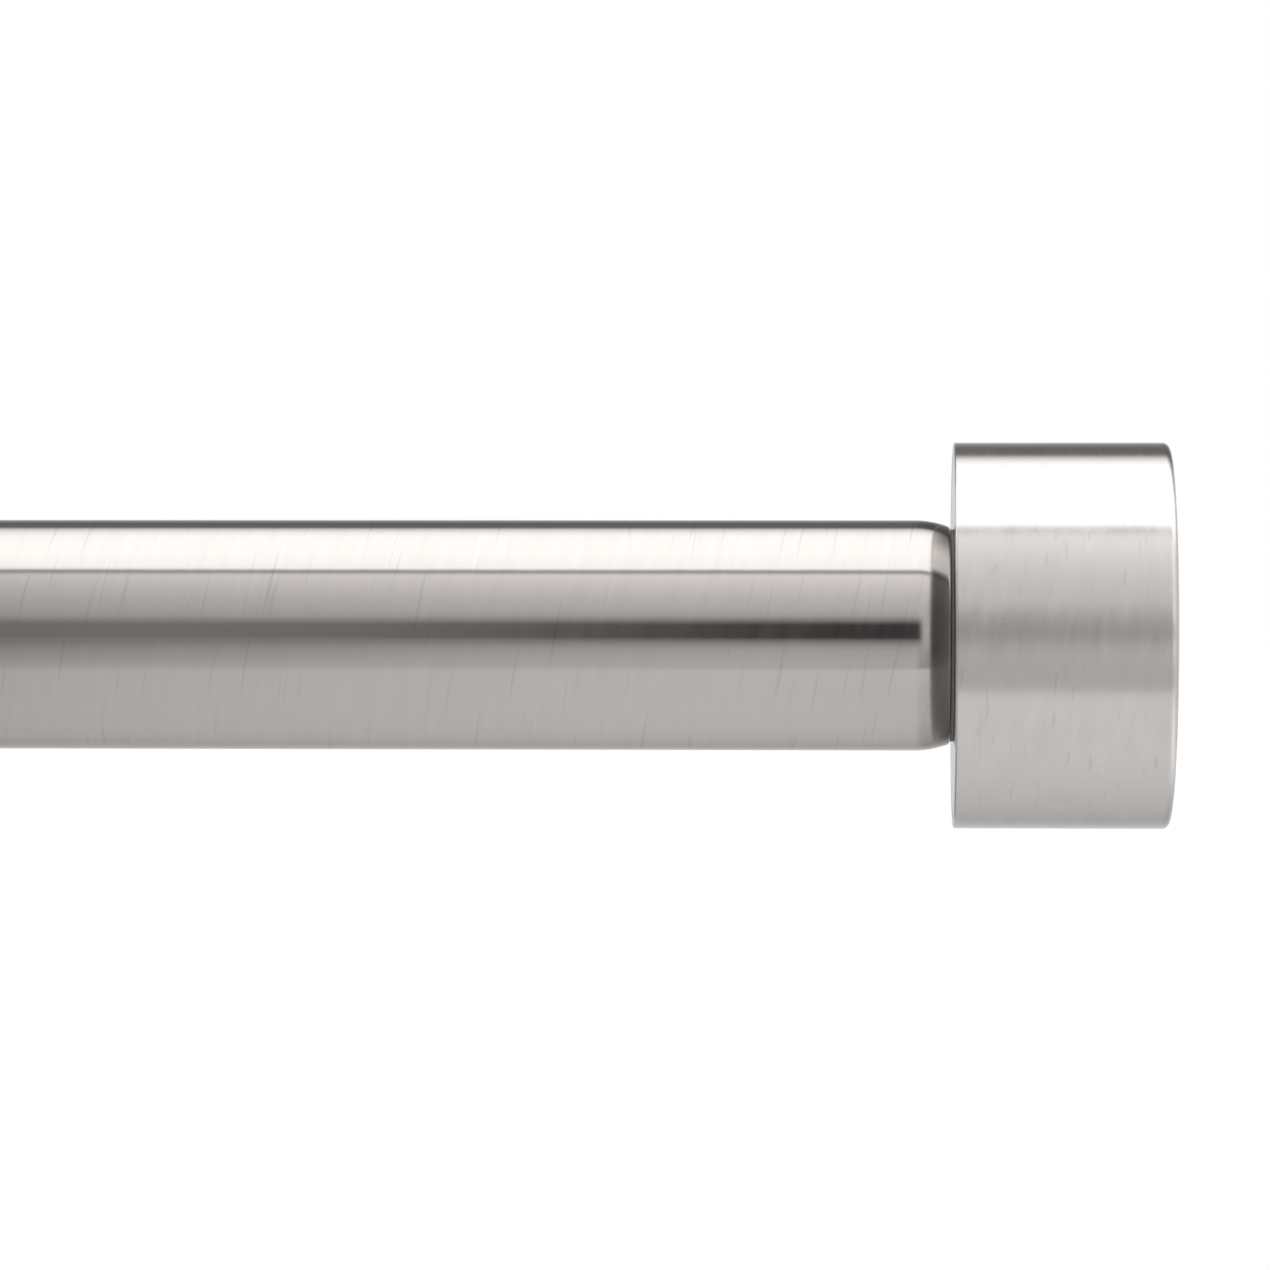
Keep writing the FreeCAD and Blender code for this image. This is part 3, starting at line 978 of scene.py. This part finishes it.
@dataclass
class EndCap:
    """A cap with its washer: a drawn cup, the plate that closes it, the boss inside and the threaded stud."""

    tube: Tube
    washer_thickness: float = 0.3
    washer_inset: float = 1.0
    washer_edge: float = 0.06
    washer_segments: int = 192
    hole: float = 3.3
    radius: float = 21.25
    length: float = 23.7
    wall: float = 1.0
    edge: float = 0.8
    edge_steps: int = 12
    inner_edge: float = 0.4
    rim_break: float = 0.22
    rim_steps: int = 6
    plate: float = 1.0
    plate_edge: float = 0.6
    plate_flange: float = 6.0
    boss_length: float = 11.0
    boss_blind_end: float = 2.0
    stud_radius: float = 3.0
    stud_chamfer: float = 0.7
    stud_inner_end: float = -12.5
    stud_segments: int = 96
    socket_flat: float = 1.5
    socket_depth: float = 3.5
    socket_tip: float = 0.8
    socket_chamfer: float = 0.2
    thread_pitch: float = 1.0
    thread_depth: float = 0.61
    thread_steps: int = 10

    def node(self, piece: str) -> str:
        """The name of one of the cap's nodes."""
        return f"{self.tube.end.side}_{piece}"

    def washer_profile(self) -> Profile:
        """Draws the flat washer between the tube's lip and the cap.

        Returns:
            The washer's section.
        """
        outside, small, thick = self.tube.radius - self.washer_inset, self.washer_edge, self.washer_thickness
        washer = Profile().add(0, self.hole + small).to(0, outside - small).to(small, outside)
        washer.to(thick - small, outside).to(thick, outside - small)
        return washer.to(thick, self.hole + small).to(thick - small, self.hole).to(small, self.hole).closed()

    def shell_profile(self) -> Profile:
        """Draws the cup, from the middle of its inside to the middle of its end face.

        Returns:
            The cup's section.
        """
        back = self.washer_thickness
        end = back + self.length
        inside = end - self.wall
        bore = self.radius - self.wall
        cup = Profile().add(inside, 0).to(inside, bore - self.inner_edge)
        cup.round((inside - self.inner_edge, bore - self.inner_edge), self.inner_edge, 0, 90)
        cup.to(back + self.rim_break / 2, bore).to(back, bore + self.rim_break / 2)
        cup.to(back, self.radius - self.rim_break)
        rim = (back + self.rim_break, self.radius - self.rim_break)
        cup.round(rim, self.rim_break, 180, 90, self.rim_steps)
        cup.to(end - self.edge, self.radius)
        cup.round((end - self.edge, self.radius - self.edge), self.edge, 90, 0, self.edge_steps)
        return cup.to(end, 0)

    def plate_profile(self) -> Profile:
        """Draws the flanged plate that closes the cup, flush with its rim.

        Returns:
            The plate's section.
        """
        back = self.washer_thickness
        rim = self.radius - self.wall
        inner = rim - self.plate
        plate = Profile().add(back, self.hole).to(back, rim - self.plate_edge)
        plate.round((back + self.plate_edge, rim - self.plate_edge), self.plate_edge, 180, 90)
        plate.to(back + self.plate_flange, rim).to(back + self.plate_flange, inner)
        return plate.to(back + self.plate, inner).to(back + self.plate, self.hole).closed()

    def stud_profile(self) -> Profile:
        """Draws the stud, from the bottom of its socket to its end in the boss.

        Returns:
            The stud's section, with its thread and its six-sided socket.
        """
        tip = self.stud_inner_end
        far = self.washer_thickness + self.plate + self.boss_length - self.boss_blind_end
        bottom = tip + self.socket_depth
        mouth = self.socket_chamfer
        stud = Profile().add(bottom + self.socket_tip, 0).add(bottom, self.socket_flat, hexagon=1)
        stud.add(tip + mouth, self.socket_flat, hexagon=1).add(tip, self.socket_flat + mouth, hexagon=1)
        stud.add(tip, self.stud_radius - self.stud_chamfer)
        start, stop = tip + self.stud_chamfer, far - self.stud_chamfer
        steps = round((stop - start) / self.thread_pitch * self.thread_steps)
        for i in range(steps + 1):
            fade = min(i, steps - i) / self.thread_steps
            stud.add(start + (stop - start) * i / steps, self.stud_radius, thread=min(1.0, fade))
        return stud.add(far, self.stud_radius - self.stud_chamfer).add(far, 0)

    def build(self, shop: Workshop) -> None:
        """Makes the washer, cup, plate and stud, and coats the boss.

        Args:
            shop: The workshop that turns and coats the pieces.
        """
        datum, cap, washer = self.tube.datum(), self.node("cap"), self.node("washer")
        shop.turn(washer, washer, self.washer_profile(), datum, Coating.FIBRE, self.washer_segments)
        shop.turn(self.node("cap_shell"), cap, self.shell_profile(), datum, Coating.CAP_NICKEL)
        shop.turn(self.node("cap_back_plate"), cap, self.plate_profile(), datum, Coating.PLATE_NICKEL)
        thread = (self.thread_pitch, self.thread_depth)
        stud = self.node("cap_stud")
        shop.turn(stud, cap, self.stud_profile(), datum, Coating.ZINC, self.stud_segments, thread)
        shop.coat(self.node("cap_boss"), Coating.ZINC)


@dataclass(frozen=True)
class RoomPart:
    """A part of the room that is darker or lighter than the rest.

    Its strength is one level by the angle along the rod, times another by the angle round it.
    """

    along: tuple[Pair, ...]
    around: tuple[Pair, ...]


@dataclass
class Studio:
    """A white studio with a long soft box over the rod, a pale floor under it and the camera.

    The light is all in the world, and comes from the same directions everywhere. Directions are told by two
    angles in degrees: round the rod, where 0 is the camera's side, 90 is up and 180 is behind, and along the
    rod, where 0 is square to it and 90 is its right end.
    """

    camera_along: float = 400.0
    camera_back: float = 600.0
    camera_yaw: float = 2.394
    camera_roll: float = -0.08
    camera_nearest: float = 0.01
    camera_farthest: float = 100.0
    lens: float = 154.0
    sensor: float = 36.0
    floor_depth: float = 0.11
    floor_half: float = 40.0
    floor_tone: str = "f4f4f4"
    top_level: float = 2.5
    # The whole room round the rod: pale walls, the soft box from 68 to 133 and the dark behind it, up to 165.
    room: tuple[Pair, ...] = (
        (-180, 0.80), (-168, 0.66), (-158, 0.59), (-151, 0.57), (-143, 0.61), (-125, 0.80), (-103, 0.89),
        (-77, 0.92), (-42, 0.92), (-35, 0.90), (-33, 0.82), (-12, 0.77), (25, 0.79), (37, 0.92), (50, 1.10),
        (60, 1.26), (63, 1.20), (64.5, 0.60), (67.5, 0.60), (69.5, 1.80), (90, 1.96), (110, 1.96),
        (118, 1.86), (124, 1.64), (130, 1.22), (133, 0.86), (137, 0.22), (150, 0.18), (157, 0.28),
        (162, 0.34), (170, 0.70), (180, 0.80),
    )
    # The dark opening in the wall behind the camera, which the rod mirrors as a thin dark slit.
    slit: RoomPart = RoomPart(
        along=(
            (-15, 0.0), (-13, 0.52), (-7, 0.52), (-4.5, 0.56), (-3, 0.76), (-1.6, 0.98), (5.5, 1.0),
            (8, 0.25), (10.5, 0.0),
        ),
        around=(
            (-24, 0.0), (-15, 0.08), (-10, 0.3), (-5, 0.7), (-2.5, 1.0), (10.5, 1.0), (14, 0.66), (19, 0.2),
            (25, 0.0),
        ),
    )
    # The slit's soft lower edge, towards its left end.
    drift: RoomPart = RoomPart(
        along=((-15, 0.0), (-13, 0.3), (-6, 0.3), (-1, 0.0)),
        around=((-36, 0.0), (-22, 0.6), (-8, 1.0), (-3, 0.0)),
    )
    # The less lit lower wall and floor to the right, which the cap and the start of the dome mirror.
    shade: RoomPart = RoomPart(
        along=((0, 0.0), (4, 0.36), (26, 0.4), (40, 0.0)),
        around=(
            (-165, 0.0), (-145, 0.9), (-120, 0.8), (-92, 0.5), (-60, 0.5), (-35, 0.1), (-33, 1.0), (-17, 0.7),
            (-11, 0.4), (2, 0.0), (135, 0.0), (138, 1.0), (166, 1.0), (170, 0.0),
        ),
    )
    # The slow fall in light towards the left.
    slope: RoomPart = RoomPart(
        along=((-14, 0.2), (0, 0.0), (14, 0.0), (20, 0.1)),
        around=((-150, 0.0), (-135, 1.0), (62, 1.0), (66, 0.0)),
    )
    # The darker far left of the room, which the dome mirrors.
    left: RoomPart = RoomPart(
        along=((-75, 0.15), (-55, 0.35), (-42, 0.52), (-28, 0.7), (-18, 0.76), (-13, 0.5), (-9.5, 0.0)),
        around=(
            (-160, 0.0), (-142, 1.0), (-125, 0.78), (-40, 0.78), (-20, 1.0), (71, 1.0), (74, 0.12),
            (97, 0.05), (120, 0.8), (135, 0.95), (145, 0.0),
        ),
    )
    # The white card to the right, which lifts the cap's reflections.
    card: RoomPart = RoomPart(
        along=((17.5, 0.0), (21, 1.0), (50, 1.0), (62, 0.0)),
        around=(
            (-180, 0.3), (-155, 0.3), (-113, 0.3), (-74, 0.6), (-61, 0.6), (-49, 0.4), (-30, 0.1), (-15, 0.5),
            (-4, 0.6), (-1, 0.1), (6, 0.1), (10, 0.7), (24, 0.7), (34, 0.5), (50, 0.3), (61, 0.3), (70, 0.0),
            (150, 0.0), (165, 0.2),
        ),
    )
    # The room's two end walls, which are lit evenly.
    side_along: tuple[Pair, ...] = ((-80, 1.0), (-60, 0.0), (48, 0.0), (62, 1.0))
    side_level: float = 0.7

    def ramp(self, tree: bpy.types.NodeTree, angle: Socket, stops: tuple[Pair, ...]) -> Socket:
        """Adds a level that changes with an angle.

        Args:
            tree: The world's tree.
            angle: The angle in radians, from minus half a turn to half a turn.
            stops: The level at each of some angles in degrees, in rising order, 32 at most.

        Returns:
            The output that holds the level.
        """
        turned = add_node(tree, MATH, {0: angle, 1: 1 / FULL_TURN}, operation="MULTIPLY").outputs[0]
        share = add_node(tree, MATH, {0: turned, 1: 0.5}, operation="ADD").outputs[0]
        ramp = add_node(tree, "ShaderNodeValToRGB", {"Fac": share})
        elements = ramp.color_ramp.elements
        while len(elements) < len(stops):
            elements.new(1.0)
        for element, (degrees, level) in zip(elements, stops):
            element.position = degrees / 360 + 0.5
            element.color = (level / self.top_level,) * 3 + (1.0,)
        shade = ramp.outputs["Color"]
        return add_node(tree, MATH, {0: shade, 1: self.top_level}, operation="MULTIPLY").outputs[0]

    def strength(self, tree: bpy.types.NodeTree, part: RoomPart, along: Socket, around: Socket) -> Socket:
        """Adds the strength of one part of the room.

        Args:
            tree: The world's tree.
            part: The part.
            along: The output that holds the angle along the rod.
            around: The output that holds the angle round the rod.

        Returns:
            The output that holds the strength, from 0 to 1.
        """
        reach, height = self.ramp(tree, along, part.along), self.ramp(tree, around, part.around)
        return add_node(tree, MATH, {0: reach, 1: height}, operation="MULTIPLY").outputs[0]

    def build_world(self) -> None:
        """Makes the world: white to camera and transmission rays, and the room's light to all others."""
        world = bpy.data.worlds.new("studio")
        bpy.context.scene.world = world
        world.use_nodes = True
        tree = world.node_tree
        tree.nodes.clear()
        ray = add_node(tree, "ShaderNodeTexCoord").outputs["Generated"]
        x, y, z = add_node(tree, "ShaderNodeSeparateXYZ", {0: ray}).outputs
        front = add_node(tree, MATH, {0: y, 1: -1.0}, operation="MULTIPLY").outputs[0]
        around = add_node(tree, MATH, {0: z, 1: front}, operation="ARCTAN2").outputs[0]
        along = add_node(tree, MATH, {0: x}, operation="ARCSINE").outputs[0]

        room = self.ramp(tree, around, self.room)
        for part in (self.slit, self.drift, self.shade, self.slope, self.left):
            dark = self.strength(tree, part, along, around)
            kept = add_node(tree, MATH, {0: 1.0, 1: dark}, operation="SUBTRACT").outputs[0]
            room = add_node(tree, MATH, {0: room, 1: kept}, operation="MULTIPLY").outputs[0]
        card = self.strength(tree, self.card, along, around)
        room = add_node(tree, MATH, {0: room, 1: card, 2: room}, operation="MULTIPLY_ADD").outputs[0]
        side = self.ramp(tree, along, self.side_along)
        room = add_node(tree, "ShaderNodeMix", {"Factor": side, "A": room, "B": self.side_level}).outputs[0]

        # Only camera and transmission rays see plain white. Glossy rays don't: they see the room, with its
        # dark and light bands, as the metal does in the photo. Plain white would leave nothing to mirror.
        path =add_node(tree, "ShaderNodeLightPath").outputs
        straight, through = path["Is Camera Ray"], path["Is Transmission Ray"]
        seen = add_node(tree, MATH, {0: straight, 1: through}, operation="MAXIMUM").outputs[0]
        level = add_node(tree, "ShaderNodeMix", {"Factor": seen, "A": room, "B": 1.0}).outputs[0]
        white = linear("ffffff")
        light = add_node(tree, "ShaderNodeBackground", {"Color": white, "Strength": level}).outputs[0]
        add_node(tree, "ShaderNodeOutputWorld", {"Surface": light})

    def build_floor(self) -> None:
        """Makes the floor: pale painted board that the rod throws a soft shadow on, and clear from below."""
        half, down = self.floor_half, -self.floor_depth
        mesh = bpy.data.meshes.new("studio_floor")
        corners = [(-half, -half, down), (half, -half, down), (half, half, down), (-half, half, down)]
        mesh.from_pydata(corners, [], [(0, 1, 2, 3)])
        floor = bpy.data.objects.new("studio_floor", mesh)
        bpy.context.scene.collection.objects.link(floor)
        material = bpy.data.materials.new("painted_board")
        material.use_nodes = True
        tree = material.node_tree
        tree.nodes.clear()
        # Matt paint has no shine, so the board shows the soft shadow and nothing else.
        top = add_node(tree, "ShaderNodeBsdfDiffuse", {"Color": linear(self.floor_tone)}).outputs[0]
        clear = add_node(tree, "ShaderNodeBsdfTransparent").outputs[0]
        under = add_node(tree, "ShaderNodeNewGeometry").outputs["Backfacing"]
        both = add_node(tree, "ShaderNodeMixShader", {0: under, 1: top, 2: clear}).outputs[0]
        add_node(tree, "ShaderNodeOutputMaterial", {"Surface": both})
        mesh.materials.append(material)
        floor.visible_glossy = False

    def build_camera(self) -> None:
        """Puts the camera where the photograph was taken from, with the photograph's frame."""
        data = bpy.data.cameras.new("camera")
        data.sensor_width = self.sensor
        data.lens = self.lens
        data.clip_start = self.camera_nearest
        data.clip_end = self.camera_farthest
        camera = bpy.data.objects.new("camera", data)
        camera.location = (self.camera_along * MM, -self.camera_back * MM, 0)
        camera.rotation_euler = [math.radians(a) for a in (90, self.camera_roll, self.camera_yaw)]
        bpy.context.scene.collection.objects.link(camera)
        bpy.context.scene.camera = camera

    def build(self) -> None:
        """Sets up the world, the floor, the camera and the plain view."""
        bpy.context.scene.view_settings.view_transform = "Standard"
        self.build_world()
        self.build_floor()
        self.build_camera()
        LOG.info("studio ready")


def main() -> None:
    """Builds the rod's sub-assemblies in order, then the studio."""
    logging.basicConfig(level=logging.INFO, format="%(message)s")
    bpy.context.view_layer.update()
    shop = Workshop()
    outer = OuterRod(node="outer_tube", body="outer_rod", end=End.RIGHT, radius=12.7)
    inner = InnerRod(node="inner_tube", body="inner_rod", end=End.LEFT, radius=11.1)
    for assembly in (outer, inner, EndCap(outer), EndCap(inner)):
        assembly.build(shop)
    Studio().build()


if __name__ == "__main__":
    main()
